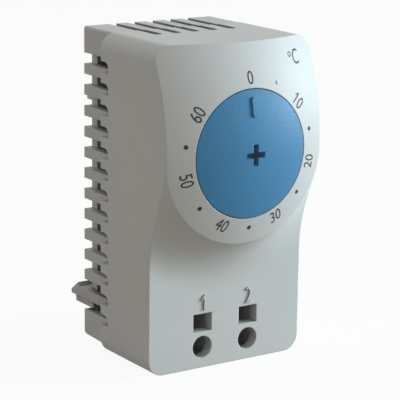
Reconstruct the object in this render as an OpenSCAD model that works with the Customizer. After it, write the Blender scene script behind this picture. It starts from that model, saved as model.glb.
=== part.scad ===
// Bimetal thermostat for an enclosure: snap-together case on a 35 mm rail, set dial, contact mechanism.
// Sizes are in millimetres. The front faces -Y, +Z is up, and the case stands on Z = 0.
// Inside place(), the second coordinate is the depth in front of the rail seat, at the back.

/* [Case] */
// Width of the front housing
body_w = 33; // [32:0.5:35]
// Height of the front housing
body_h = 60; // [59:0.5:64]
// Radius of the four long corners
corner_r = 3; // [2.4:0.1:4]
// Wall of the front housing
wall = 2.2; // [1.9:0.05:2.4]
// Depth of the housing's rear rim
rim_depth = 10; // [9.6:0.1:10.4]
// Depth of the flat lower face
face_depth = 26.75; // [26.25:0.05:27.25]
// Depth of the top of the dome
dome_depth = 35.4; // [35:0.1:36.4]
// Radius of the spherical dome
dome_r = 42; // [40:0.5:46]
// Distance of the dial axis below the top of the case
dial_drop = 19.45; // [19.2:0.05:20]
// Gap between the boss edge circle and the side of the case
boss_over = 0.1; // [0.05:0.05:0.4]
// Radius about the dial axis where the cove meets the flat face
cove_foot = 26.5; // [25.5:0.1:28]

/* [Base] */
// Gap between the base and the housing
base_fit = 0.2; // [0.15:0.05:0.3]
// Height of the base's underside above the bottom of the case, at the housing's rim
base_rise = 0.45; // [0.3:0.05:0.9]
// Rise of the base's underside from the rim to the rear plate
base_draft = 0.4; // [0.2:0.05:0.6]
// Thickness of the rear plate
plate_t = 1.95; // [1.8:0.05:2.4]
// Thickness of the comb fingers
finger_t = 1.66; // [1.5:0.02:1.8]
// Length of the base that goes into the housing
nest_len = 5.4; // [5:0.1:6.5]

/* [Vents] */
// Pitch of the comb
vent_pitch = 3.945; // [3.9:0.005:4]
// Height of a comb finger
finger_h = 1.95; // [1.8:0.05:2.1]
// Height of the solid block over the comb
top_land = 5; // [4.6:0.1:5.4]
// Length of the notches in the housing's rim
notch_len = 2.62; // [2.2:0.02:3]
// Corner radius at the end of a notch
notch_r = 1.2; // [0.6:0.05:1.4]
// Count of slots in the top
slot_count = 5; // [3:2:5]
// Pitch of the top slots
slot_pitch = 4; // [3.6:0.1:4.4]
// Width of a top slot
slot_w = 1.6; // [1.2:0.05:1.8]
// Depth where the top slots end
slot_end = 16.3; // [15:0.1:17]

/* [Dial] */
// Radius of the dial
dial_r = 11.52; // [11.2:0.01:12]
// Gap round the dial
dial_gap = 0.15; // [0.12:0.01:0.3]
// Height of the dial's skirt
dial_skirt = 2.85; // [2.6:0.05:3.1]
// Wall of the dial
dial_t = 1.7; // [1.5:0.05:2]
// Turn of the dial between its stops, in degrees
dial_turn = 306; // [270:3:306]
// Radius of the dial's hub
hub_r = 3.4; // [3.3:0.05:3.6]
// Length of an arm of the cross recess, end to end
cross_l = 3.95; // [3.5:0.05:4.4]
// Width of the arms of the cross recess
cross_w = 1.05; // [0.9:0.05:1.2]
// Depth of the cross recess
cross_deep = 2.2; // [1.8:0.1:2.4]
// Slope of the arms' ends from the mouth of the recess to its bottom
cross_taper = 0.7; // [0.3:0.05:0.9]
// Length of the pointer
pointer_l = 3.5; // [3:0.1:4]
// Width of the pointer
pointer_w = 1; // [0.8:0.05:1.3]
// Distance of the pointer's outer end from the rim
pointer_in = 1.25; // [1:0.05:2]

/* [Terminals] */
// Distance between the two terminals
terminal_pitch = 10; // [9.6:0.1:11]
// Diameter of a wire hole
wire_d = 4.14; // [3.8:0.02:4.2]
// Height of the wire holes
wire_z = 3.92; // [3.8:0.02:4.1]
// Width of a release opening
release_w = 4; // [3.6:0.1:4.2]
// Height of a release opening
release_h = 3.4; // [3:0.1:3.6]
// Height of the middle of the release openings
release_z = 8.52; // [8.4:0.02:8.7]
// Length of the terminal shafts
shaft_len = 8.25; // [7.75:0.05:8.5]
// Thickness of the front wall where the terminal openings go through it
entry_t = 2.2; // [1.8:0.1:2.6]

/* [Rail] */
// Width of the mounting rail
rail_w = 35; // [34.5:0.1:35.5]
// Play of the rail between the hooks
rail_play = 1.13; // [0.8:0.01:1.3]
// Reach of the latch behind the rail seat
latch_reach = 5; // [4.6:0.1:5.4]
// Height of the underside of the latch arms
latch_z = 7.65; // [7.5:0.05:7.8]
// Depth of a hook behind the rail's edge
hook_bite = 0.75; // [0.6:0.05:0.9]
// Room for the rail's edge under the hooks
hook_room = 1.9; // [1.7:0.05:2.1]

/* [Mechanism] */
// Pitch of the setting screw's thread
thread_pitch = 1.2; // [1:0.05:1.25]
// Radius of the setting screw
screw_r = 2; // [1.8:0.05:2.1]
// Thickness of the mechanism frame
frame_t = 2; // [1.8:0.1:2.2]
// Width of the bimetal strip and the range lever
strip_w = 8; // [7:0.1:8.4]
// Thickness of the bimetal strip
strip_t = 0.7; // [0.5:0.05:0.8]
// Thickness of the range lever
lever_t = 1; // [0.8:0.05:1.1]
// Radius of the contact heads
contact_r = 1.7; // [1.4:0.05:1.9]
// Gap between the contacts at rest
contact_gap = 0.15; // [0.12:0.01:0.25]
// Thickness of the busbars
bar_t = 0.75; // [0.65:0.05:0.8]
// Thickness of the clamp springs
spring_t = 0.45; // [0.4:0.05:0.5]

/* [Hidden] */
$fn = 48;

// Colours as the photo shows them
case_grey = [0.83, 0.84, 0.83];
dial_blue = [0.33, 0.56, 0.72];
frame_black = [0.16, 0.16, 0.17];
brass_yellow = [0.80, 0.66, 0.36];
steel_grey = [0.66, 0.67, 0.68];
silver_white = [0.86, 0.85, 0.82];

// Small shared clearances
clear = 0.3;
slip = 0.08;
part_line = 0.06;
past = 1;

// Case
half_w = body_w / 2;
dial_z = body_h - dial_drop;
boss_r = half_w + boss_over;
dome_mid = dome_depth - dome_r;
boss_edge = dome_mid + sqrt(pow(dome_r, 2) - pow(boss_r, 2));
cove_rise = boss_edge - face_depth;
cove_run = cove_foot - boss_r;
cove_r = (pow(cove_run, 2) + pow(cove_rise, 2)) / (2 * cove_rise);
inner_r = max(corner_r - wall, 0.5);

// The object's box is centred on Y = 0
seat_y = (dome_depth - latch_reach) / 2;

// Base and comb
base_half = half_w - wall - base_fit;
plate_half = base_half - finger_t;
base_top = body_h - 0.1;
nest_end = rim_depth + nest_len;
nest_low = wall + base_fit;
nest_high = body_h - wall - base_fit;
base_floor = nest_low + 1.3;
base_corner = 0.4;
base_heel = 0.6;
vent_gap = vent_pitch - finger_h;
vent_end = rim_depth + notch_len;
arm_top = latch_z + finger_h;
vent_top = body_h - top_land;
vent_rows = floor((vent_top - arm_top - vent_gap) / vent_pitch + 0.5) + 1;
function vent_z(i) = vent_top - vent_gap - i * vent_pitch;
block_top = latch_z - vent_gap;
groove_deep = 0.8;
catch_z = body_h / 2;
catch_h = 4;
catch_out = 0.6;
catch_d = nest_end - 1.9;
catch_l = 1.2;

// Latch
pivot_d = vent_end + 1.1;
pivot_z = latch_z + finger_h / 2;
pivot_r = 0.65;
pivot_out = 1.1;
arm_in = plate_half + 0.2;
hook_z = arm_top + rail_w + rail_play;
hook_t = 2;
lip_t = 1.4;
hook_half = plate_half - 0.9;
hook_slope = 1.6;
hook_lift = hook_bite - 0.1;
rib_drop = 1.3;
rib_back = 1.25;
rib_front = plate_t + 0.8;

// Dial
pocket_r = dial_r + dial_gap;
dial_rim = dome_mid + sqrt(pow(dome_r, 2) - pow(dial_r, 2));
skirt_d = dial_rim - dial_skirt;
floor_d = skirt_d - 0.5;
floor_t = 1.6;
floor_back = floor_d - floor_t;
cup_r = pocket_r + 1.5;
pointer_h = 0.3;
stop_in = dial_r - 3.4;
stop_out = dial_r - 1.6;
lug_half = 6;
stop_lap = 0.6;
stop_play = 0.5;
washer_t = 0.5;
washer_out = 2.4;
clip_t = 0.55;
clip_out = 1.8;
clip_open = 20;
washer_d = floor_back - part_line - washer_t;
clip_d = washer_d - part_line - clip_t;
groove_r = hub_r - 0.45;

// Mechanism, from the frame backwards
terminal_x = terminal_pitch / 2;
shaft_end = face_depth - shaft_len;
shaft_wall = 0.8;
chamber_gap = 0.4;
chamber_half = wire_d / 2 + chamber_gap;
chamber_low = wire_z - wire_d / 2 - chamber_gap;
chamber_high = release_z + release_h / 2 + chamber_gap;
shaft_half = chamber_half + shaft_wall;
shaft_high = chamber_high + shaft_wall;
entry_back = face_depth - entry_t;
frame_back = shaft_end - 1;
frame_front = frame_back + frame_t;
frame_high = nest_high - 1.2;
frame_half = plate_half + 0.5;
window_x = 7.5;
window_half = 8;
guide_r = 4;
guide_out = 0.8;
guide_back = 1;
hub_end = frame_front + 1.4;
screw_travel = thread_pitch * dial_turn / 360;
bore_end = dome_depth - cross_deep - 1.3;
screw_front = bore_end - screw_travel - clear;
thread_end = hub_end - 0.6;
key_w = screw_r * 1.4;

lever_d = frame_back - 3.5;
lever_low = 18.5;
lever_high = frame_high - 2;
pin_r = 0.75;
knuckle_r = pin_r + 0.7;
lever_mid = lever_d - lever_t / 2;
cal_r = 1.25;
cal_out = 0.8;
cal_back = 0.9;
screw_tip = lever_d + cal_out + slip;
contact_z = lever_high - 3;
head_t = 1.1;
tail_t = 0.5;
tail_r = 1.2;
shank_r = 0.8;
lever_face = lever_d - lever_t;
strip_d = lever_face - 2 * head_t - contact_gap;
strip_back = strip_d - strip_t;
strip_low = 16.5;
strip_high = lever_high + 1;
magnet_half = 3;
magnet_h = 4.5;
magnet_drop = 8;
magnet_z = contact_z - magnet_drop;
armature_t = 0.5;
magnet_gap = 0.4;
magnet_t = lever_face - strip_d - armature_t - magnet_gap;

foot_high = lever_low - knuckle_r - bar_t - 1;
foot_h = 3.2;
foot_low = foot_high - foot_h;
foot_mid = foot_high - foot_h / 2;
post_x = frame_half - 2.5;
post_low = foot_high + 4.1;
post_high = frame_high - 2.6;
post_r = 2.3;
fix_r = 0.85;
fix_gap = 0.25;
fix_len = 4;
fix_head_r = 1.8;
fix_head_t = 1.2;
drive_w = 0.5;
drive_deep = 0.6;
bracket_d = strip_back - contact_gap;
foot_back = bracket_d + 0.02;
bracket_high = strip_low + 4.5;
rivet_r = 0.7;
rivet_x = 2;
rivet_z = strip_low + 1.5;
foot_rivet_x = 3;
foot_rivet_len = 3;
ear_r = 1.6;
ear_out = 1.6;
bar_low = wire_z + wire_d / 2 + 0.3;
bar_half = release_w / 2;
bar_back = bracket_d - bar_t;
leg_back = 1.6;
leg_d = shaft_end - leg_back;
leg_low = wall + clear + spring_t / 2;
leg_bar = 0.6;
cage_side = 0.75;
bar_front = leg_d - spring_t / 2 - clear;
leg_x = terminal_x + bar_half;
ear_in = strip_w / 2 + clear;

// Puts a piece drawn in width, depth and height into the object's frame
module place() {
    translate([0, seat_y, 0]) mirror([0, 1, 0]) children();
}

// Turns an upright form so that it stands forward along the dial axis
module on_dial() {
    translate([0, 0, dial_z]) rotate([-90, 0, 0]) children();
}

// Stands a round form forward at one point of the width and height
module forward(x, z, d) {
    translate([x, d, z]) rotate([-90, 0, 0]) children();
}

// Draws a side profile in depth and height and pulls it across the width
module across(x0, x1) {
    translate([x0, 0, 0]) rotate([90, 0, 90]) linear_extrude(x1 - x0) children();
}

// Block between two widths, two depths and two heights
module block(x0, x1, d0, d1, z0, z1) {
    translate([x0, d0, z0]) cube([x1 - x0, d1 - d0, z1 - z0]);
}

// Rounded panel standing upright, from one depth to another
module panel(half, z0, z1, r, d0, d1) {
    translate([0, d1, 0]) rotate([90, 0, 0]) linear_extrude(d1 - d0) {
        translate([-half, z0 + r]) square([2 * half, z1 - z0 - 2 * r]);
        translate([r - half, z0]) square([2 * (half - r), z1 - z0]);
        for (x = [r - half, half - r], z = [z0 + r, z1 - r]) translate([x, z]) circle(r);
    }
}

// Ring about the dial axis
module ring(r_in, r_out, d, t) {
    on_dial() translate([0, 0, d]) difference() {
        cylinder(r = r_out, h = t);
        translate([0, 0, -past]) cylinder(r = r_in, h = t + 2 * past);
    }
}

// Part of a ring, from one angle clockwise to another as seen from the front
module ring_part(r_in, r_out, d, t, a0, a1) {
    on_dial() translate([0, 0, d]) rotate([0, 0, a0 - 90]) rotate_extrude(angle = a1 - a0)
        translate([r_in, 0]) square([r_out - r_in, t]);
}

// Bent strip of even thickness through a row of points
module ribbon(points, t) {
    for (i = [0 : len(points) - 2]) {
        a = points[i];
        b = points[i + 1];
        translate(a) rotate(atan2(b[1] - a[1], b[0] - a[0]))
            translate([0, -t / 2]) square([norm(b - a), t]);
    }
    for (p = points) translate(p) circle(t / 2);
}

// Solid under the moulded front: flat face, cove, boss and dome, set back by t for the inside
module front_form(t) {
    translate([-body_w, 0, -body_h]) cube([2 * body_w, face_depth - t, 3 * body_h]);
    intersection() {
        translate([0, dome_mid, dial_z]) sphere(dome_r - t);
        union() {
            translate([-body_w, 0, dial_z]) cube([2 * body_w, dome_depth + past, body_h]);
            on_dial() cylinder(r = boss_r - t, h = dome_depth + past);
        }
    }
    on_dial() rotate_extrude() difference() {
        square([cove_foot, boss_edge - t]);
        translate([cove_foot, face_depth + cove_r]) circle(cove_r + t);
    }
}

// Outline of one rim notch, with a rounded upper corner at its blind end
module notch(z) {
    translate([0, z]) intersection() {
        square([vent_end, vent_gap]);
        union() {
            square([vent_end - notch_r, vent_gap]);
            square([vent_end, vent_gap - notch_r]);
            translate([vent_end - notch_r, vent_gap - notch_r]) circle(notch_r);
        }
    }
}

// Slots in the top, through the base and the housing, running out over the rear plate as grooves
module top_slots() {
    for (i = [0 : slot_count - 1]) {
        x = (i - (slot_count - 1) / 2) * slot_pitch;
        block(x - slot_w / 2, x + slot_w / 2, -past, slot_end - slot_w / 2,
            base_top - groove_deep, body_h + past);
        block(x - slot_w / 2, x + slot_w / 2, plate_t, slot_end - slot_w / 2, nest_high - 3, body_h + past);
        translate([x, slot_end - slot_w / 2, nest_high - 3]) cylinder(r = slot_w / 2, h = 3 * wall + past);
    }
}

// Screw posts inside the housing and the screws' places on the frame
module at_posts() {
    for (x = [-post_x, post_x], z = [post_low, post_high]) translate([x, 0, z]) rotate([-90, 0, 0]) children();
}

// Front housing: one moulded shell with the domed front, the cove and a notched rear rim
module front_housing() color(case_grey) place() difference() {
    intersection() {
        panel(half_w, 0, body_h, corner_r, rim_depth, dome_depth + past);
        front_form(0);
    }
    difference() {
        intersection() {
            panel(half_w - wall, wall, body_h - wall, inner_r, rim_depth - past, dome_depth);
            front_form(wall);
        }
        on_dial() translate([0, 0, floor_back]) cylinder(r = cup_r, h = dome_depth);
        at_posts() translate([0, 0, frame_front]) cylinder(r = post_r, h = dome_depth);
        for (x = [-terminal_x, terminal_x])
            block(x - shaft_half, x + shaft_half, shaft_end, face_depth, 0, shaft_high);
    }
    difference() {
        on_dial() translate([0, 0, floor_d]) cylinder(r = pocket_r, h = dome_depth);
        ring_part(stop_in, stop_out, floor_d - past, skirt_d - floor_d + past + stop_lap,
            dial_turn + lug_half + stop_play, 360 - lug_half - stop_play);
    }
    on_dial() cylinder(r = hub_r + slip, h = dome_depth);
    at_posts() translate([0, 0, frame_front - past]) cylinder(r = fix_r, h = fix_len + clear + past);
    for (x = [-terminal_x, terminal_x]) {
        forward(x, wire_z, entry_back - past) cylinder(r = wire_d / 2, h = entry_t + 2 * past);
        block(x - release_w / 2, x + release_w / 2, entry_back - past, face_depth + past,
            release_z - release_h / 2, release_z + release_h / 2);
        block(x - chamber_half, x + chamber_half, shaft_end - past, entry_back, chamber_low, chamber_high);
    }
    across(-body_w, body_w) for (i = [0 : vent_rows]) notch(vent_z(i));
    top_slots();
    for (s = [-1, 1]) {
        translate([s * (half_w - wall), pivot_d, pivot_z]) rotate([0, 90, 0])
            cylinder(r = pivot_r + slip, h = 2 * (pivot_out - base_fit + clear), center = true);
        translate([s * (half_w - wall), catch_d, catch_z])
            cube([2 * (catch_out - base_fit + clear), catch_l + 2 * clear, catch_h + 2 * clear], center = true);
    }
}

// Rear base: tray with a comb down each side, a flush top and the fixed rail hook
module rear_base() color(case_grey * 0.97) place() {
    difference() {
        union() {
            panel(base_half, base_rise, base_top, base_corner, 0, rim_depth - part_line);
            panel(base_half, nest_low, nest_high, inner_r, 0, nest_end);
        }
        panel(plate_half, base_floor, nest_high - 1.6, 0.6, plate_t, nest_end + past);
        across(-body_w, body_w) translate([0, base_rise + base_draft]) polygon([[-past, -past],
            [-past, base_heel], [0, base_heel], [0.3 * base_heel, 0.3 * base_heel], [base_heel, 0],
            [rim_depth, -base_draft], [rim_depth, -base_draft - past]]);
        for (i = [0 : vent_rows - 1], s = [-1, 1])
            translate([s * (plate_half + body_w / 2), (vent_end - past) / 2, vent_z(i) + vent_gap / 2])
                cube([body_w, vent_end + past, vent_gap], center = true);
        for (s = [-1, 1])
            translate([s * (plate_half + body_w / 2), nest_end / 2, (block_top + vent_z(vent_rows - 1)) / 2])
                cube([body_w, nest_end + 2 * past, vent_z(vent_rows - 1) - block_top], center = true);
        top_slots();
    }
    for (s = [-1, 1]) translate([s * base_half, catch_d, catch_z])
        cube([2 * catch_out, catch_l, catch_h], center = true);
    difference() {
        across(-hook_half, hook_half) polygon([[0.1, hook_z], [-hook_room + 0.3, hook_z],
            [-hook_room, hook_z - hook_bite], [-hook_room - lip_t + 0.5, hook_z - hook_bite],
            [-hook_room - lip_t, hook_z - hook_bite + 0.5], [-hook_room - lip_t, hook_z + hook_t - 0.8],
            [-hook_room - lip_t + 0.8, hook_z + hook_t], [0.1, hook_z + hook_t]]);
        translate([0, 0, hook_z - hook_bite]) rotate([90, 0, 0]) linear_extrude(2 * latch_reach)
            for (s = [-1, 1]) polygon([[s * (hook_half - hook_slope), 0], [s * hook_half, hook_lift],
                [s * (hook_half + past), hook_lift], [s * (hook_half + past), -past],
                [s * (hook_half - hook_slope), -past]]);
    }
}

// Rail latch: two springy arms in the comb's lowest gap, joined by the catch bar
module rail_latch() color(case_grey * 0.94) place() {
    difference() {
        across(-base_half, base_half) {
            polygon([[-latch_reach, latch_z], [-latch_reach, latch_z + 0.8],
                [-hook_room - 0.5, arm_top + hook_bite], [-hook_room, arm_top], [pivot_d, arm_top],
                [pivot_d, latch_z], [rib_front, latch_z], [rib_front, latch_z - rib_drop],
                [rib_back - latch_reach, latch_z - rib_drop], [rib_back - latch_reach, latch_z]]);
            translate([pivot_d, pivot_z]) circle(finger_h / 2);
        }
        block(-arm_in, arm_in, -clear, pivot_d + finger_h, latch_z - 2, arm_top + past);
        for (s = [-1, 1]) translate([s * (base_half - 0.1), 0, latch_z - rib_drop - part_line / 2])
            cube([0.4, 2 * latch_reach, 2 * rib_drop], center = true);
    }
    for (s = [-1, 1]) translate([s * (base_half + (pivot_out - 0.5) / 2), pivot_d, pivot_z]) rotate([0, 90, 0])
        cylinder(r = pivot_r, h = pivot_out + 0.5, center = true);
}

// Dial: domed cap flush with the case, with a raised pointer, a cross recess and a hollow hub
module dial() color(dial_blue) place() {
    difference() {
        intersection() {
            translate([0, dome_mid, dial_z]) sphere(dome_r);
            on_dial() translate([0, 0, skirt_d]) cylinder(r = dial_r, h = dome_depth);
        }
        difference() {
            intersection() {
                translate([0, dome_mid, dial_z]) sphere(dome_r - dial_t);
                on_dial() cylinder(r = dial_r - 1.2, h = dome_depth);
            }
            on_dial() cylinder(r = hub_r, h = dome_depth);
            ring_part(stop_in, stop_out, skirt_d, dome_depth, -lug_half, lug_half);
        }
        dial_bore();
        for (a = [0, 90]) on_dial() rotate([0, 0, a]) cross_arm();
    }
    difference() {
        on_dial() translate([0, 0, hub_end]) cylinder(r = hub_r, h = skirt_d - hub_end + 0.4);
        ring(groove_r, hub_r + past, clip_d - part_line, clip_t + 2 * part_line);
        dial_bore();
    }
    intersection() {
        translate([0, dome_mid, dial_z]) difference() {
            sphere(dome_r + pointer_h);
            sphere(dome_r - dial_t / 2);
        }
        panel_bar(dial_z + dial_r - pointer_in - pointer_l, dial_z + dial_r - pointer_in, pointer_w / 2);
    }
}

// One arm of the cross recess, with sloping ends
module cross_arm() {
    translate([0, 0, dome_depth]) rotate([90, 0, 0]) linear_extrude(cross_w, center = true)
        polygon([[-cross_l / 2, past], [-cross_l / 2, 0], [cross_taper - cross_l / 2, -cross_deep],
            [cross_l / 2 - cross_taper, -cross_deep], [cross_l / 2, 0], [cross_l / 2, past]]);
}

// Threaded bore of the dial's hub
module dial_bore() {
    on_dial() translate([0, 0, hub_end - past])
        cylinder(r = screw_r + slip, h = bore_end - hub_end + past);
}

// Upright bar with round ends, used for the pointer
module panel_bar(z0, z1, r) {
    translate([0, dome_depth + past, 0]) rotate([90, 0, 0]) linear_extrude(dome_depth) {
        translate([-r, z0 + r]) square([2 * r, z1 - z0 - 2 * r]);
        for (z = [z0 + r, z1 - r]) translate([0, z]) circle(r);
    }
}

// Friction washer between the housing and the dial's clip
module friction_washer() color(steel_grey) place() ring(hub_r + slip, hub_r + washer_out, washer_d, washer_t);

// Spring clip in the hub's groove
module dial_clip() color(steel_grey) place()
    ring_part(groove_r + slip, hub_r + clip_out, clip_d, clip_t, clip_open, 360 - clip_open);

// Setting screw: thread in the hub, square key in the frame, so it slides when the dial turns
module setting_screw() color(brass_yellow) place() {
    on_dial() translate([0, 0, thread_end]) cylinder(r = screw_r, h = screw_front - thread_end);
    block(-key_w / 2, key_w / 2, screw_tip + 1, thread_end + 0.5, dial_z - key_w / 2, dial_z + key_w / 2);
    on_dial() translate([0, 0, screw_tip]) cylinder(r = key_w / 2, h = 1.1);
}

// Mechanism frame: moulded plate with the screw guide and a foot that carries both brackets
module mechanism_frame() color(frame_black) place() difference() {
    union() {
        panel(frame_half, foot_low, frame_high, 2, frame_back, frame_front);
        on_dial() translate([0, 0, frame_back - guide_back])
            cylinder(r = guide_r, h = guide_back + frame_t + guide_out);
        block(-leg_x, leg_x, foot_back, frame_front, foot_low, foot_high);
    }
    block(-key_w / 2 - slip, key_w / 2 + slip, 0, dome_depth,
        dial_z - key_w / 2 - slip, dial_z + key_w / 2 + slip);
    at_posts() cylinder(r = fix_r + fix_gap, h = dome_depth);
    for (x = [-window_x, window_x]) panel_window(x, dial_z - window_half, dial_z + window_half);
    for (x = [-foot_rivet_x, foot_rivet_x]) forward(x, foot_mid, 0)
        cylinder(r = rivet_r, h = foot_back + foot_rivet_len);
}

// Air window in the frame
module panel_window(x, z0, z1) {
    translate([x, 0, 0]) panel(1.5, z0, z1, 1.4, frame_back - 2 * past, frame_front + 2 * past);
}

// Screws that fix the frame to the housing's posts
module frame_screws() color(steel_grey) place() at_posts() {
    translate([0, 0, frame_back]) cylinder(r = fix_r, h = frame_t + fix_len);
    translate([0, 0, frame_back - fix_head_t]) difference() {
        cylinder(r = fix_head_r, h = fix_head_t);
        translate([-fix_head_r - past, -drive_w / 2, -past])
            cube([2 * (fix_head_r + past), drive_w, drive_deep + past]);
    }
}

// Range lever: hinged at its foot, moved by the setting screw, carries the fixed contact and the magnet
module range_lever() color(steel_grey) place() difference() {
    union() {
        block(-strip_w / 2, strip_w / 2, lever_face, lever_d, lever_low, lever_high);
        across(-strip_w / 2, strip_w / 2) translate([lever_mid, lever_low]) circle(knuckle_r);
    }
    across(-strip_w, strip_w) translate([lever_mid, lever_low]) circle(pin_r + slip / 2);
    forward(0, dial_z, 0) cylinder(r = cal_r, h = dome_depth);
    forward(0, contact_z, 0) cylinder(r = shank_r, h = dome_depth);
}

// Hinge pin of the range lever
module lever_pin() color(steel_grey) place() across(-ear_in - ear_out, ear_in + ear_out)
    translate([lever_mid, lever_low]) circle(pin_r);

// Calibration screw in the range lever, met by the setting screw
module calibration_screw() color(brass_yellow) place() forward(0, dial_z, lever_face - cal_back) difference() {
    cylinder(r = cal_r, h = cal_back + lever_t + cal_out);
    translate([-cal_r - past, -drive_w / 2, -past]) cube([2 * (cal_r + past), drive_w, drive_deep + past]);
}

// Contact rivet: head, shank through its carrier and a closed tail
module contact(d_head, d_tail, z) {
    forward(0, z, min(d_head[0], d_head[1])) cylinder(r = contact_r, h = abs(d_head[1] - d_head[0]));
    forward(0, z, min(d_head[0], d_tail[0])) cylinder(r = shank_r, h = abs(d_tail[0] - d_head[0]));
    forward(0, z, min(d_tail[0], d_tail[1])) cylinder(r = tail_r, h = tail_t);
}

// Fixed contact on the range lever, facing back
module fixed_contact() color(silver_white) place()
    contact([lever_face, lever_face - head_t], [lever_d, lever_d + tail_t], contact_z);

// Magnet on the range lever, for the snap action
module snap_magnet() color(frame_black * 1.6) place()
    block(-magnet_half, magnet_half, lever_face - magnet_t, lever_face, magnet_z, magnet_z + magnet_h);

// Bimetal strip, fixed at its foot and free at the top
module bimetal_strip() color([0.72, 0.66, 0.58]) place() difference() {
    block(-strip_w / 2, strip_w / 2, strip_back, strip_d, strip_low, strip_high);
    forward(0, contact_z, 0) cylinder(r = shank_r, h = dome_depth);
    for (x = [-rivet_x, rivet_x]) forward(x, rivet_z, 0) cylinder(r = rivet_r + slip, h = dome_depth);
}

// Moving contact on the bimetal strip, facing forward
module moving_contact() color(silver_white) place()
    contact([strip_d, strip_d + head_t], [strip_back, strip_back - tail_t], contact_z);

// Steel armature on the bimetal strip, drawn by the magnet
module armature() color(steel_grey) place()
    block(-magnet_half, magnet_half, strip_d, strip_d + armature_t, magnet_z, magnet_z + magnet_h);

// Bracket of the bimetal strip, also the busbar of terminal 1
module strip_bracket() color(brass_yellow) place() difference() {
    union() {
        block(-leg_x, strip_w / 2, bar_back, bracket_d, foot_low, bracket_high);
        block(-leg_x, bar_half - terminal_x, bar_back, bracket_d, bar_low, foot_low + past);
        block(-leg_x, bar_half - terminal_x, bar_back, bar_front, bar_low, bar_low + bar_t);
    }
    for (x = [-rivet_x, rivet_x]) forward(x, rivet_z, 0) cylinder(r = rivet_r, h = dome_depth);
    for (x = [-foot_rivet_x, foot_rivet_x]) forward(x, foot_mid, 0) cylinder(r = rivet_r, h = dome_depth);
}

// Rivets: two hold the strip to its bracket and two hold the bracket to the frame's foot
module strip_rivets() color(brass_yellow * 0.9) place() {
    for (x = [-rivet_x, rivet_x]) {
        forward(x, rivet_z, bar_back - tail_t) cylinder(r = tail_r, h = tail_t);
        forward(x, rivet_z, bar_back - tail_t)
            cylinder(r = rivet_r, h = strip_d + contact_gap + 2 * tail_t - bar_back);
        forward(x, rivet_z, strip_d + contact_gap) cylinder(r = tail_r, h = tail_t);
    }
    for (x = [-foot_rivet_x, foot_rivet_x]) {
        forward(x, foot_mid, bar_back - tail_t) cylinder(r = tail_r, h = tail_t);
        forward(x, foot_mid, bar_back - tail_t)
            cylinder(r = rivet_r, h = foot_back + foot_rivet_len + tail_t - bar_back);
    }
}

// Bracket of the range lever, also the busbar of terminal 2
module lever_bracket() color(brass_yellow) place() {
    block(-ear_in - bar_t, leg_x + bar_t, lever_mid - ear_r, frame_back, foot_high, foot_high + bar_t);
    block(leg_x, leg_x + bar_t, lever_mid - ear_r, frame_back - 1, bar_low, foot_high + bar_t);
    block(terminal_x - bar_half, leg_x + bar_t, bar_back, bar_front, bar_low, bar_low + bar_t);
    for (x = [-ear_in - bar_t, ear_in]) difference() {
        union() {
            block(x, x + bar_t, lever_mid - ear_r, lever_mid + ear_r, foot_high, lever_low);
            across(x, x + bar_t) translate([lever_mid, lever_low]) circle(ear_r);
        }
        across(x - past, x + bar_t + past) translate([lever_mid, lever_low]) circle(pin_r);
    }
}

// Cage clamp spring of one terminal, seated on the busbar, with a window for the wire
module clamp_spring(x) {
    low = bar_low + bar_t + spring_t / 2;
    high = release_z + release_h / 2;
    difference() {
        across(x - bar_half + slip, x + bar_half - slip) ribbon([
            [bar_front - clear, low], [bar_back + 2.6, low], [bar_back + 1.5, (low + high) / 2],
            [bar_back + 2.6, high], [leg_d - 1.4, high - 0.3], [leg_d - 0.3, high - 1.1],
            [leg_d, high - 2.2], [leg_d, leg_low]], spring_t);
        block(x - wire_d / 2 + cage_side, x + wire_d / 2 - cage_side, leg_d - past, leg_d + past,
            leg_low + leg_bar, bar_low + bar_t + clear);
    }
}

// Clamp spring of terminal 1
module clamp_spring_1() color(steel_grey) place() clamp_spring(-terminal_x);

// Clamp spring of terminal 2
module clamp_spring_2() color(steel_grey) place() clamp_spring(terminal_x);

front_housing();
rear_base();
rail_latch();
dial();
friction_washer();
dial_clip();
setting_screw();
mechanism_frame();
frame_screws();
range_lever();
lever_pin();
calibration_screw();
fixed_contact();
snap_magnet();
bimetal_strip();
moving_contact();
armature();
strip_bracket();
strip_rivets();
lever_bracket();
clamp_spring_1();
clamp_spring_2();
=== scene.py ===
import math

import bmesh
import bpy
from mathutils import Matrix, Vector


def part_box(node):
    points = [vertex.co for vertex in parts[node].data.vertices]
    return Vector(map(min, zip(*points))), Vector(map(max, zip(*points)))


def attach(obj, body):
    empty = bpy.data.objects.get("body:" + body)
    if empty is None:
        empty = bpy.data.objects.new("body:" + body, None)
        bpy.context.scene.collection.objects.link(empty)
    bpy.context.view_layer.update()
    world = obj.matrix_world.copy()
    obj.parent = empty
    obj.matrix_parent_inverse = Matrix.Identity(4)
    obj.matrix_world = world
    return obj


bpy.ops.wm.read_factory_settings(use_empty=True)
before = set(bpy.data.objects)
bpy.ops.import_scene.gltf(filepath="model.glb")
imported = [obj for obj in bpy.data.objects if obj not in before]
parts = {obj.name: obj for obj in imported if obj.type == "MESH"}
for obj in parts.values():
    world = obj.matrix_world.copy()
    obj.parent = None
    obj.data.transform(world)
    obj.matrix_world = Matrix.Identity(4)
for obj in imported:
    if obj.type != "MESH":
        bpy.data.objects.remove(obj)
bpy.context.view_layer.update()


# Rear base. The tray that goes on the rail: rear plate, comb sides, flush top and the fixed hook
# in one moulding of light grey satin plastic. It clips into the front housing. Its inside and the
# walls of the slots in its top are painted darker, a painted shade.
MM = 0.001


def join(links, source, target):
    """Links two sockets of a finish."""
    links.new(source, target)


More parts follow.
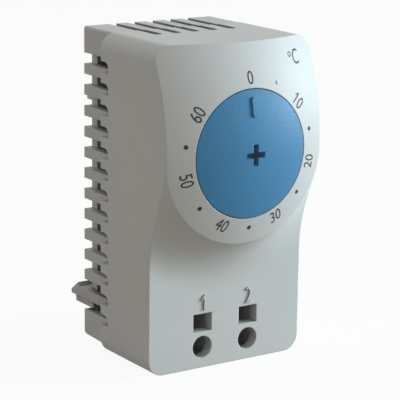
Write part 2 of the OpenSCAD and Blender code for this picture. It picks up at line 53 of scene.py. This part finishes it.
def moulded(name, colour, rough, grain, grain_depth, edge, mottling=0.03, shade_paint_share=0.75,
            shade_paint_onset=0.42, shade_paint=(0.085, 0.07, 0.06)):
    """Satin moulded plastic: spark-eroded grain, soft edges, faint flow marks, painted shade in
    hollows.
    """
    finish = bpy.data.materials.new(name)
    finish.use_nodes = True
    nodes, links = finish.node_tree.nodes, finish.node_tree.links
    skin = nodes["Principled BSDF"]
    place = nodes.new("ShaderNodeTexCoord")

    flow = nodes.new("ShaderNodeTexNoise")
    flow.inputs["Scale"].default_value = 90
    flow.inputs["Detail"].default_value = 4
    join(links, place.outputs["Object"], flow.inputs["Vector"])
    tint = nodes.new("ShaderNodeValToRGB")
    tint.color_ramp.elements[0].position = 0.3
    tint.color_ramp.elements[1].position = 0.7
    tint.color_ramp.elements[0].color = [c * (1 - mottling) for c in colour] + [1]
    tint.color_ramp.elements[1].color = [min(1, c * (1 + mottling)) for c in colour] + [1]
    join(links, flow.outputs["Fac"], tint.inputs["Fac"])

    # Painted shade: where ambient occlusion is low, in hollows, corners and between parts, the
    # colour turns towards the shade paint colour; a pale shade paint lightens them instead.
    hollow = nodes.new("ShaderNodeAmbientOcclusion")
    hollow.samples = 8
    hollow.inputs["Distance"].default_value = 25 * MM
    unshaded_share = nodes.new("ShaderNodeMapRange")
    unshaded_share.inputs["From Min"].default_value = 0.1
    unshaded_share.inputs["From Max"].default_value = shade_paint_onset
    unshaded_share.inputs["To Min"].default_value = 1 - shade_paint_share
    join(links, hollow.outputs["AO"], unshaded_share.inputs["Value"])
    with_painted_shade = nodes.new("ShaderNodeMix")
    with_painted_shade.data_type = "RGBA"
    with_painted_shade.inputs["A"].default_value = list(shade_paint) + [1]
    join(links, unshaded_share.outputs["Result"], with_painted_shade.inputs["Factor"])
    join(links, tint.outputs["Color"], with_painted_shade.inputs["B"])
    join(links, with_painted_shade.outputs["Result"], skin.inputs["Base Color"])

    pits = nodes.new("ShaderNodeTexNoise")
    pits.inputs["Scale"].default_value = 1 / grain
    pits.inputs["Detail"].default_value = 3
    pits.inputs["Roughness"].default_value = 0.6
    join(links, place.outputs["Object"], pits.inputs["Vector"])
    gloss = nodes.new("ShaderNodeMapRange")
    gloss.inputs["To Min"].default_value = rough - 0.07
    gloss.inputs["To Max"].default_value = rough + 0.07
    join(links, pits.outputs["Fac"], gloss.inputs["Value"])
    join(links, gloss.outputs["Result"], skin.inputs["Roughness"])

    round_edge = nodes.new("ShaderNodeBevel")
    round_edge.samples = 6
    round_edge.inputs["Radius"].default_value = edge
    bump = nodes.new("ShaderNodeBump")
    bump.inputs["Strength"].default_value = 0.6
    bump.inputs["Distance"].default_value = grain_depth
    join(links, pits.outputs["Fac"], bump.inputs["Height"])
    join(links, round_edge.outputs["Normal"], bump.inputs["Normal"])
    join(links, bump.outputs["Normal"], skin.inputs["Normal"])
    skin.inputs["Specular IOR Level"].default_value = 0.35
    return finish


def finish_in(piece, finish):
    """Gives a piece one finish, in place of any it came with."""
    piece.data.materials.clear()
    piece.data.materials.append(finish)


def paint_wall_shade(finish, shade_paint, bands):
    """Paints shade on walls whose place and facing lie within all bands: measure, axis, middle,
    reach.
    """
    nodes, links = finish.node_tree.nodes, finish.node_tree.links
    skin = nodes["Principled BSDF"]
    surface = nodes.new("ShaderNodeNewGeometry")
    place, facing = nodes.new("ShaderNodeSeparateXYZ"), nodes.new("ShaderNodeSeparateXYZ")
    join(links, nodes["Texture Coordinate"].outputs["Object"], place.inputs["Vector"])
    join(links, surface.outputs["True Normal"], facing.inputs["Vector"])
    # Painted shade: the colour of those walls is drawn to the given shade colour.
    wall_shade = nodes.new("ShaderNodeMix")
    wall_shade.data_type = "RGBA"
    wall_shade.inputs["B"].default_value = list(shade_paint) + [1]
    join(links, skin.inputs["Base Color"].links[0].from_socket, wall_shade.inputs["A"])
    join(links, wall_shade.outputs["Result"], skin.inputs["Base Color"])
    within = None
    for measure, axis, middle, reach in bands:
        band = nodes.new("ShaderNodeMath")
        band.operation = "COMPARE"
        band.inputs[1].default_value = middle
        band.inputs[2].default_value = reach
        join(links, (place if measure == "place" else facing).outputs[axis], band.inputs[0])
        if within:
            both = nodes.new("ShaderNodeMath")
            both.operation = "MULTIPLY"
            join(links, within.outputs["Value"], both.inputs[0])
            join(links, band.outputs["Value"], both.inputs[1])
            within = both
        else:
            within = band
    join(links, within.outputs["Value"], wall_shade.inputs["Factor"])


base_plastic = moulded("base_plastic", (0.63, 0.635, 0.62), rough=0.52, grain=0.16 * MM,
                       grain_depth=0.008 * MM, edge=0.12 * MM, shade_paint_share=0.9, shade_paint_onset=0.34)
finish_in(parts["rear_base"], base_plastic)
# The walls inside the top slots are painted this grey, a painted shade.
slot_wall_shade = (0.27, 0.29, 0.295)
slot_walls = (("place", "X", 0, 9 * MM), ("place", "Y", 7 * MM, 8.3 * MM),
              ("place", "Z", 57 * MM, 3.1 * MM), ("facing", "Y", 0, 0.9), ("facing", "Z", 0, 0.05))
paint_wall_shade(base_plastic, slot_wall_shade, slot_walls)


# Mechanism frame. A black moulded plate screwed to the posts inside the housing; it guides the
# setting screw and carries both contact brackets on its foot.
frame_plastic = moulded("frame_plastic", (0.022, 0.022, 0.024), rough=0.48, grain=0.2 * MM,
                        grain_depth=0.012 * MM, edge=0.15 * MM, mottling=0.12)
finish_in(parts["mechanism_frame"], frame_plastic)


# Strip bracket, lever bracket and rivets. Each bracket is stamped from brass sheet and bent up in
# one piece with the busbar of its terminal; the rivets are brass too. The rolled sheet keeps fine
# lines along its length and has a thin brown tarnish.
def rolled_metal(name, colour, dull, rough, line, edge, along=(1, 1, 0.03)):
    """Rolled or stamped metal: fine lines from the rolls, cloudy tarnish and tumbled edges."""
    finish = bpy.data.materials.new(name)
    finish.use_nodes = True
    nodes, links = finish.node_tree.nodes, finish.node_tree.links
    skin = nodes["Principled BSDF"]
    skin.inputs["Metallic"].default_value = 1
    place = nodes.new("ShaderNodeTexCoord")
    stretch = nodes.new("ShaderNodeMapping")
    stretch.inputs["Scale"].default_value = along
    join(links, place.outputs["Object"], stretch.inputs["Vector"])

    lines = nodes.new("ShaderNodeTexNoise")
    lines.inputs["Scale"].default_value = 1 / line
    lines.inputs["Detail"].default_value = 3
    join(links, stretch.outputs["Vector"], lines.inputs["Vector"])
    cloud = nodes.new("ShaderNodeTexNoise")
    cloud.inputs["Scale"].default_value = 420
    cloud.inputs["Detail"].default_value = 5
    join(links, place.outputs["Object"], cloud.inputs["Vector"])
    tarnish = nodes.new("ShaderNodeValToRGB")
    tarnish.color_ramp.elements[0].position = 0.38
    tarnish.color_ramp.elements[1].position = 0.66
    tarnish.color_ramp.elements[0].color = list(colour) + [1]
    tarnish.color_ramp.elements[1].color = list(dull) + [1]
    join(links, cloud.outputs["Fac"], tarnish.inputs["Fac"])
    join(links, tarnish.outputs["Color"], skin.inputs["Base Color"])
    gloss = nodes.new("ShaderNodeMapRange")
    gloss.inputs["To Min"].default_value = rough - 0.1
    gloss.inputs["To Max"].default_value = rough + 0.14
    join(links, lines.outputs["Fac"], gloss.inputs["Value"])
    join(links, gloss.outputs["Result"], skin.inputs["Roughness"])

    round_edge = nodes.new("ShaderNodeBevel")
    round_edge.samples = 4
    round_edge.inputs["Radius"].default_value = edge
    bump = nodes.new("ShaderNodeBump")
    bump.inputs["Strength"].default_value = 0.35
    bump.inputs["Distance"].default_value = 0.006 * MM
    join(links, lines.outputs["Fac"], bump.inputs["Height"])
    join(links, round_edge.outputs["Normal"], bump.inputs["Normal"])
    join(links, bump.outputs["Normal"], skin.inputs["Normal"])
    return finish


sheet_brass = rolled_metal("sheet_brass", (0.66, 0.45, 0.17), dull=(0.47, 0.30, 0.12),
                           rough=0.34, line=0.09 * MM, edge=0.1 * MM)
for name in ("strip_bracket", "lever_bracket", "strip_rivets"):
    finish_in(parts[name], sheet_brass)


# Clamp springs, dial clip and friction washer. Cut and bent from stainless spring strip: each
# clamp spring is hooked over its busbar, with a window for the conductor, and the clip and the
# washer hold the dial's hub behind the housing.
spring_steel = rolled_metal("spring_steel", (0.56, 0.56, 0.55), dull=(0.44, 0.43, 0.41),
                            rough=0.3, line=0.06 * MM, edge=0.06 * MM)
for name in ("clamp_spring_1", "clamp_spring_2", "dial_clip", "friction_washer"):
    finish_in(parts[name], spring_steel)


# Bimetal strip. Two alloys rolled into one strip, so its front half is a brassy nickel alloy and
# its rear half a whiter one. It is riveted to its bracket at the foot.
bimetal = rolled_metal("bimetal", (0.55, 0.52, 0.47), dull=(0.46, 0.42, 0.36),
                       rough=0.36, line=0.05 * MM, edge=0.04 * MM)
strip_low, strip_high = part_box("bimetal_strip")
nodes, links = bimetal.node_tree.nodes, bimetal.node_tree.links
depth = nodes.new("ShaderNodeSeparateXYZ")
join(links, nodes["Texture Coordinate"].outputs["Object"], depth.inputs["Vector"])
layer = nodes.new("ShaderNodeMath")
layer.operation = "LESS_THAN"
layer.inputs[1].default_value = (strip_low.y + strip_high.y) / 2
join(links, depth.outputs["Y"], layer.inputs[0])
alloys = nodes.new("ShaderNodeMix")
alloys.data_type = "RGBA"
alloys.blend_type = "MULTIPLY"
alloys.inputs["B"].default_value = (1.0, 0.80, 0.58, 1)
join(links, layer.outputs["Value"], alloys.inputs["Factor"])
join(links, nodes["Color Ramp"].outputs["Color"], alloys.inputs["A"])
join(links, alloys.outputs["Result"], nodes["Principled BSDF"].inputs["Base Color"])
finish_in(parts["bimetal_strip"], bimetal)


# Armature, range lever and lever pin. Punched or drawn soft iron, left grey: the armature is
# welded to the strip to meet the magnet, and the lever swings on its pin.
soft_iron = rolled_metal("soft_iron", (0.42, 0.42, 0.43), dull=(0.33, 0.32, 0.31),
                         rough=0.45, line=0.12 * MM, edge=0.08 * MM)
for name in ("armature", "range_lever", "lever_pin"):
    finish_in(parts[name], soft_iron)


# Contacts. Silver alloy rivets with rounded-off heads, one on the strip and one on the range lever.
# They are a little blackened by switching.
silver = rolled_metal("contact_silver", (0.80, 0.79, 0.76), dull=(0.50, 0.48, 0.45),
                      rough=0.3, line=0.1 * MM, edge=0.25 * MM, along=(1, 1, 1))
for name in ("fixed_contact", "moving_contact"):
    finish_in(parts[name], silver)


# Snap magnet. A pressed and sintered ferrite block, dark grey, dull and slightly porous. It is
# glued to the range lever and makes the contacts part with a snap.
ferrite = moulded("ferrite", (0.05, 0.05, 0.052), rough=0.7, grain=0.12 * MM,
                  grain_depth=0.03 * MM, edge=0.2 * MM, mottling=0.2)
finish_in(parts["snap_magnet"], ferrite)


# Setting screw, calibration screw and frame screws. Turned brass and zinc-plated steel with cut
# threads, which show as ridges along the screw axis.
def threaded(finish, pitch):
    """Adds the ridges of a cut thread along Y to a metal finish."""
    nodes, links = finish.node_tree.nodes, finish.node_tree.links
    ridges = nodes.new("ShaderNodeTexWave")
    ridges.bands_direction = "Y"
    ridges.wave_profile = "TRI"
    ridges.inputs["Scale"].default_value = math.pi / 10 / pitch
    join(links, nodes["Texture Coordinate"].outputs["Object"], ridges.inputs["Vector"])
    cut = nodes.new("ShaderNodeBump")
    cut.inputs["Distance"].default_value = pitch * 0.3
    join(links, ridges.outputs["Fac"], cut.inputs["Height"])
    join(links, nodes["Bump"].outputs["Normal"], cut.inputs["Normal"])
    join(links, cut.outputs["Normal"], nodes["Principled BSDF"].inputs["Normal"])
    return finish


lathe_lines = (1, 0.05, 1)
turned_brass = rolled_metal("screw_brass", (0.70, 0.50, 0.20), dull=(0.52, 0.35, 0.14),
                            rough=0.28, line=0.1 * MM, edge=0.1 * MM, along=lathe_lines)
screw_brass = threaded(turned_brass, pitch=0.6 * MM)
for name in ("setting_screw", "calibration_screw"):
    finish_in(parts[name], screw_brass)
plated_steel = rolled_metal("screw_zinc", (0.58, 0.59, 0.60), dull=(0.47, 0.48, 0.50),
                            rough=0.33, line=0.1 * MM, edge=0.1 * MM, along=lathe_lines)
screw_zinc = threaded(plated_steel, pitch=0.5 * MM)
finish_in(parts["frame_screws"], screw_zinc)


# Front housing. One light grey satin moulding: dome, cove, dial pocket, terminal openings and the
# notched rim. It is pushed over the base until its side catches snap in.
housing_colour = (0.665, 0.675, 0.66)
# Painted shade darkens its terminal openings and other hollows.
housing_plastic = moulded("housing_plastic", housing_colour, rough=0.5, grain=0.14 * MM,
                          grain_depth=0.006 * MM, edge=0.26 * MM, mottling=0.02, shade_paint_share=0.44)
finish_in(parts["front_housing"], housing_plastic)
# The walls inside the top slots get the same painted shade as in the base.
paint_wall_shade(housing_plastic, slot_wall_shade, slot_walls)


# Raised figures. The terminal figures stand up from the housing in its own plastic, cut into the
# same mould, and the sides of their strokes are painted darker, a painted shade.
def front_of_case(x, z):
    """Depth of the housing's front at one place, found by looking at it from in front."""
    ahead = -100 * MM
    hit, spot, _, _ = parts["front_housing"].ray_cast(Vector((x, ahead, z)), Vector((0, 1, 0)))
    return spot.y if hit else 0.0


def draw_one(mesh, rise):
    """Draws a 1 with an up-stroke at its upper left, in place of the plain face's bare stem."""
    widest_stem = 0.15
    shape = bmesh.new()
    shape.from_mesh(mesh)
    left = min(v.co.x for v in shape.verts)
    stem = [v for v in shape.verts if v.co.x < left + widest_stem]
    right = max(v.co.x for v in stem)
    foot, top = min(v.co.y for v in stem), max(v.co.y for v in stem)
    bmesh.ops.delete(shape, geom=stem, context="VERTS")
    outline = ((left, foot), (right, foot), (right, top), (left + 0.02, top),
               (left - 0.18, top - 0.18), (left - 0.15, top - 0.25), (left, top - 0.12))
    near = [shape.verts.new((x, y, rise)) for x, y in outline]
    shape.faces.new(near)
    if rise:
        far = [shape.verts.new((x, y, -rise)) for x, y in outline]
        shape.faces.new(far[::-1])
        for k in range(len(outline)):
            shape.faces.new((near[k - 1], far[k - 1], far[k], near[k]))
    shape.to_mesh(mesh)
    shape.free()


def cut_small(mesh):
    """Cuts long edges until the strokes can follow the dome without dipping under it."""
    smallest_face, longest_edge, rounds = 1e-7, 0.1, 4
    shape = bmesh.new()
    shape.from_mesh(mesh)
    empty = [face for face in shape.faces if face.calc_area() < smallest_face]
    bmesh.ops.delete(shape, geom=empty, context="FACES")
    for _ in range(rounds):
        bmesh.ops.triangulate(shape, faces=shape.faces)
        long_edges = [edge for edge in shape.edges if edge.calc_length() > longest_edge]
        bmesh.ops.subdivide_edges(shape, edges=long_edges, cuts=1)
    bmesh.ops.triangulate(shape, faces=shape.faces)
    shape.to_mesh(mesh)
    shape.free()


def figure(name, text, height, across, thin=0, rise=0):
    """Flat or raised lettering of one height, centred on its middle, in a narrow plain face."""
    line = bpy.data.curves.new(name, "FONT")
    line.body = text
    line.size = 1
    line.offset = thin
    line.resolution_u = 6
    line.extrude = rise
    words = bpy.data.objects.new(name, line)
    bpy.context.scene.collection.objects.link(words)
    bpy.context.view_layer.update()
    settled = bpy.context.evaluated_depsgraph_get()
    flat = bpy.data.meshes.new_from_object(words.evaluated_get(settled))
    bpy.data.objects.remove(words)
    if text[0] == "1":
        draw_one(flat, rise)
    cut_small(flat)
    xs = [v.co.x for v in flat.vertices]
    ys = [v.co.y for v in flat.vertices]
    size = height / (max(ys) - min(ys))
    middle = Vector(((max(xs) + min(xs)) / 2, (max(ys) + min(ys)) / 2, 0))
    for v in flat.vertices:
        v.co = v.co - middle
        v.co.x *= size * across
        v.co.y *= size
    piece = bpy.data.objects.new(name, flat)
    bpy.context.scene.collection.objects.link(piece)
    return piece


def lay_on_front(piece, x, z, turn, lift):
    """Turns lettering clockwise and lays each point on the housing's front, a little proud."""
    c, s = math.cos(math.radians(turn)), math.sin(math.radians(turn))
    for v in piece.data.vertices:
        px = x + v.co.x * c + v.co.y * s
        pz = z - v.co.x * s + v.co.y * c
        v.co = Vector((px, front_of_case(px, pz) - lift - v.co.z, pz))
    piece.data.update()


figure_plastic = moulded("figure_plastic", housing_colour, rough=0.5, grain=0.14 * MM,
                         grain_depth=0.006 * MM, edge=0.07 * MM, mottling=0.02, shade_paint_share=0)
stroke_side_shade = moulded("stroke_side_shade", (0.21, 0.245, 0.255), rough=0.55, grain=0.14 * MM,
                      grain_depth=0.006 * MM, edge=0.02 * MM, mottling=0.02, shade_paint_share=0)
figures_above_bottom = 12.3 * MM
side_facing = 0.7
for text, x in (("1", -5), ("2", 5)):
    terminal = figure(f"terminal_{text}", text, height=2.95 * MM, across=0.68, thin=-0.014,
                      rise=0.15 * MM)
    lay_on_front(terminal, x * MM, figures_above_bottom, turn=0, lift=0.11 * MM)
    finish_in(terminal, figure_plastic)
    # The sides of the strokes get their own darker grey, a painted shade.
    terminal.data.materials.append(stroke_side_shade)
    for face in terminal.data.polygons:
        if abs(face.normal.y) < side_facing:
            face.material_index = 1
    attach(terminal, "case")


# Printed scale. Dark grey ink pad-printed on the dome: a number for each ten degrees, 51 degrees
# of turn apart, and a dot at each half step; the first dot is raised from the housing instead.
# The numbers above the middle stand on the dial and the others read from below.
dial_height = 40.55 * MM
scale_radius = 13.5 * MM
step = 51
ink_lift = 0.025 * MM
dot_lift = 0.02 * MM


def on_scale(degrees):
    """Place on the scale's circle, counted clockwise from its top."""
    around = math.radians(degrees)
    return scale_radius * math.sin(around), dial_height + scale_radius * math.cos(around)


ink = bpy.data.materials.new("scale_ink")
ink.use_nodes = True
nodes, links = ink.node_tree.nodes, ink.node_tree.links
dried = nodes["Principled BSDF"]
dried.inputs["Roughness"].default_value = 0.6
dried.inputs["Specular IOR Level"].default_value = 0.4
place = nodes.new("ShaderNodeTexCoord")
film = nodes.new("ShaderNodeTexNoise")
film.inputs["Scale"].default_value = 3500
film.inputs["Detail"].default_value = 4
join(links, place.outputs["Object"], film.inputs["Vector"])
cover = nodes.new("ShaderNodeValToRGB")
cover.color_ramp.elements[0].position = 0.35
cover.color_ramp.elements[1].position = 0.75
cover.color_ramp.elements[0].color = (0.0155, 0.0155, 0.017, 1)
cover.color_ramp.elements[1].color = (0.043, 0.043, 0.045, 1)
join(links, film.outputs["Fac"], cover.inputs["Fac"])
join(links, cover.outputs["Color"], dried.inputs["Base Color"])

number_turns = (0, 51, -78, -26, 26, 77, -55)
for i, turn in enumerate(number_turns):
    number = figure(f"number_{i * 10}", str(i * 10), height=2.3 * MM, across=0.8)
    x, z = on_scale(i * step)
    lay_on_front(number, x, z, turn, ink_lift)
    finish_in(number, ink)
    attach(number, "case")

for name, text, height, across, x, z in (("degree_ring", "°", 0.95, 0.85, 10.13, 57.05),
                                         ("celsius_letter", "C", 2.6, 0.68, 11.62, 56.55)):
    sign = figure(name, text, height * MM, across)
    lay_on_front(sign, x * MM, z * MM, turn=0, lift=ink_lift)
    finish_in(sign, ink)
    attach(sign, "case")


def round_dot(name, radius, rise, degrees):
    """One dot of the scale as a low cushion, laid on the dome."""
    sides = 24
    rings = ((0.55, 0.85 * rise), (0.85, 0.5 * rise), (1.0, 0.0))
    inner, middle, outer = 1, 1 + sides, 1 + 2 * sides
    points, faces = [(0, 0, rise)], []
    for share, up in rings:
        for k in range(sides):
            a = k * math.tau / sides
            points.append((radius * share * math.cos(a), radius * share * math.sin(a), up))
    for k in range(sides):
        n = (k + 1) % sides
        faces.append((0, inner + k, inner + n))
        faces.append((inner + k, middle + k, middle + n, inner + n))
        faces.append((middle + k, outer + k, outer + n, middle + n))
    mesh = bpy.data.meshes.new(name)
    mesh.from_pydata(points, [], faces)
    mesh.shade_smooth()
    piece = bpy.data.objects.new(name, mesh)
    bpy.context.scene.collection.objects.link(piece)
    x, z = on_scale(degrees)
    lay_on_front(piece, x, z, turn=0, lift=dot_lift)
    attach(piece, "case")
    return piece


for i in range(1, len(number_turns) - 1):
    printed_dot = round_dot(f"dot_{i * 10 + 5}", radius=0.4 * MM, rise=0.01 * MM,
                            degrees=(i + 0.5) * step)
    finish_in(printed_dot, ink)
raised_dot = round_dot("dot_5", radius=0.34 * MM, rise=0.15 * MM, degrees=0.5 * step)
finish_in(raised_dot, figure_plastic)


# Dial. A mid-blue moulded cap with a coarser, sparkling grain and a raised pointer, flush with the
# dome; it snaps through the housing and is held by the washer and clip behind.
# Its shade paint is a pale grey: where ambient occlusion is low, in the cross recess and round the
# rim, the blue is painted lighter and greyer, a painted lightening.
dial_plastic = moulded("dial_plastic", (0.061, 0.25, 0.47), rough=0.45, grain=0.45 * MM,
                       grain_depth=0.065 * MM, edge=0.12 * MM, mottling=0.05,
                       shade_paint=(0.30, 0.34, 0.29))
finish_in(parts["dial"], dial_plastic)
# The pointer's side walls are painted a darker blue, a painted shade.
pointer_wall_shade = (0.028, 0.11, 0.19)
pointer_walls = (("place", "X", 0, 0.7 * MM), ("facing", "Y", 0, 0.7),
                 ("place", "Z", dial_height + 8.3 * MM, 2.3 * MM))
paint_wall_shade(dial_plastic, pointer_wall_shade, pointer_walls)


# Rail latch. A light grey catch bar on two springy arms, moulded apart from the base and hung in
# the comb's lowest gap. It gives way downwards to let the rail in.
# Its hollows and the catch face behind the rear plate are painted strongly darker, a painted shade.
latch_plastic = moulded("latch_plastic", (0.60, 0.605, 0.59), rough=0.5, grain=0.16 * MM,
                        grain_depth=0.008 * MM, edge=0.15 * MM, shade_paint_share=0.9, shade_paint_onset=0.8)
finish_in(parts["rail_latch"], latch_plastic)


# Studio. A pale floor that keeps the shadow, white all round for the camera, one big cool lamp
# from the right and a weak warm light from everywhere else.
def seen_directly(nodes, links):
    """1 for what the camera, a mirror or glass sees, 0 for light that falls on the object."""
    path = nodes.new("ShaderNodeLightPath")
    either = nodes.new("ShaderNodeMath")
    either.operation = "MAXIMUM"
    join(links, path.outputs["Is Camera Ray"], either.inputs[0])
    join(links, path.outputs["Is Glossy Ray"], either.inputs[1])
    any_of = nodes.new("ShaderNodeMath")
    any_of.operation = "MAXIMUM"
    join(links, either.outputs["Value"], any_of.inputs[0])
    join(links, path.outputs["Is Transmission Ray"], any_of.inputs[1])
    return any_of.outputs["Value"]


world = bpy.data.worlds.new("studio")
bpy.context.scene.world = world
world.use_nodes = True
nodes, links = world.node_tree.nodes, world.node_tree.links
room = nodes["Background"]
room.inputs["Color"].default_value = (1.0, 0.98, 0.95, 1)
room.inputs["Strength"].default_value = 0.43
white = nodes.new("ShaderNodeBackground")
white.inputs["Color"].default_value = (1, 1, 1, 1)
white.inputs["Strength"].default_value = 0.97
pick = nodes.new("ShaderNodeMixShader")
join(links, seen_directly(nodes, links), pick.inputs["Fac"])
join(links, room.outputs["Background"], pick.inputs[1])
join(links, white.outputs["Background"], pick.inputs[2])
join(links, pick.outputs["Shader"], nodes["World Output"].inputs["Surface"])

floor_reach = 2
floor_mesh = bpy.data.meshes.new("floor")
floor_corners = [(-floor_reach, -floor_reach, 0), (floor_reach, -floor_reach, 0),
                 (floor_reach, floor_reach, 0), (-floor_reach, floor_reach, 0)]
floor_mesh.from_pydata(floor_corners, [], [(0, 1, 2, 3)])
floor = bpy.data.objects.new("floor", floor_mesh)
bpy.context.scene.collection.objects.link(floor)
paper = bpy.data.materials.new("floor_paper")
paper.use_nodes = True
nodes, links = paper.node_tree.nodes, paper.node_tree.links
grey = nodes["Principled BSDF"]
grey.inputs["Base Color"].default_value = (0.33, 0.27, 0.21, 1)
grey.inputs["Roughness"].default_value = 0.9
pale = nodes.new("ShaderNodeBsdfDiffuse")
pale.inputs["Color"].default_value = (0.9, 0.9, 0.9, 1)
glow = nodes.new("ShaderNodeEmission")
glow.inputs["Strength"].default_value = 1
shadowed = nodes.new("ShaderNodeMixShader")
shadowed.inputs["Fac"].default_value = 0.93
join(links, pale.outputs["BSDF"], shadowed.inputs[1])
join(links, glow.outputs["Emission"], shadowed.inputs[2])
blend = nodes.new("ShaderNodeMixShader")
join(links, seen_directly(nodes, links), blend.inputs["Fac"])
join(links, grey.outputs["BSDF"], blend.inputs[1])
join(links, shadowed.outputs["Shader"], blend.inputs[2])
join(links, blend.outputs["Shader"], nodes["Material Output"].inputs["Surface"])
finish_in(floor, paper)

key = bpy.data.lights.new("key", "AREA")
key.shape = "DISK"
key.size = 0.28
key.energy = 4.06
key.color = (0.73, 0.91, 1.0)
key_lamp = bpy.data.objects.new("key", key)
bpy.context.scene.collection.objects.link(key_lamp)
towards_lamp = Vector((0.88, -0.40, 0.22)).normalized()
middle_of_case = Vector((0, 0, 30 * MM))
lamp_distance = 0.6
key_lamp.location = middle_of_case + towards_lamp * lamp_distance
key_lamp.rotation_mode = "QUATERNION"
key_lamp.rotation_quaternion = towards_lamp.to_track_quat("Z", "Y")
bpy.context.scene.view_settings.view_transform = "Standard"


# Camera. Placed as the photograph was taken: from the front left and a little above, with a long
# lens. Its place is a least-squares fit to the corners of the case.
azimuth, elevation, roll = math.radians(-33.95), math.radians(13.52), math.radians(0.78)
distance = 346.28 * MM
outward = math.cos(elevation)
back = Vector((math.sin(azimuth) * outward, -math.cos(azimuth) * outward, math.sin(elevation)))
level = Vector((math.cos(azimuth), math.sin(azimuth), 0))
upright = back.cross(level)
right = level * math.cos(roll) + upright * math.sin(roll)
up = upright * math.cos(roll) - level * math.sin(roll)
middle_of_back = Vector((0, 15.2 * MM, 30 * MM))
aim_right, aim_below = 9.98 * MM, 4.63 * MM
aim = middle_of_back + right * aim_right - up * aim_below
view = bpy.data.cameras.new("photo_camera")
view.lens = 162.3
view.sensor_width = 36
view.clip_start = 0.01
camera = bpy.data.objects.new("photo_camera", view)
bpy.context.scene.collection.objects.link(camera)
turned = Matrix((right, up, back)).transposed().to_4x4()
camera.matrix_world = Matrix.Translation(aim + back * distance) @ turned
bpy.context.scene.camera = camera
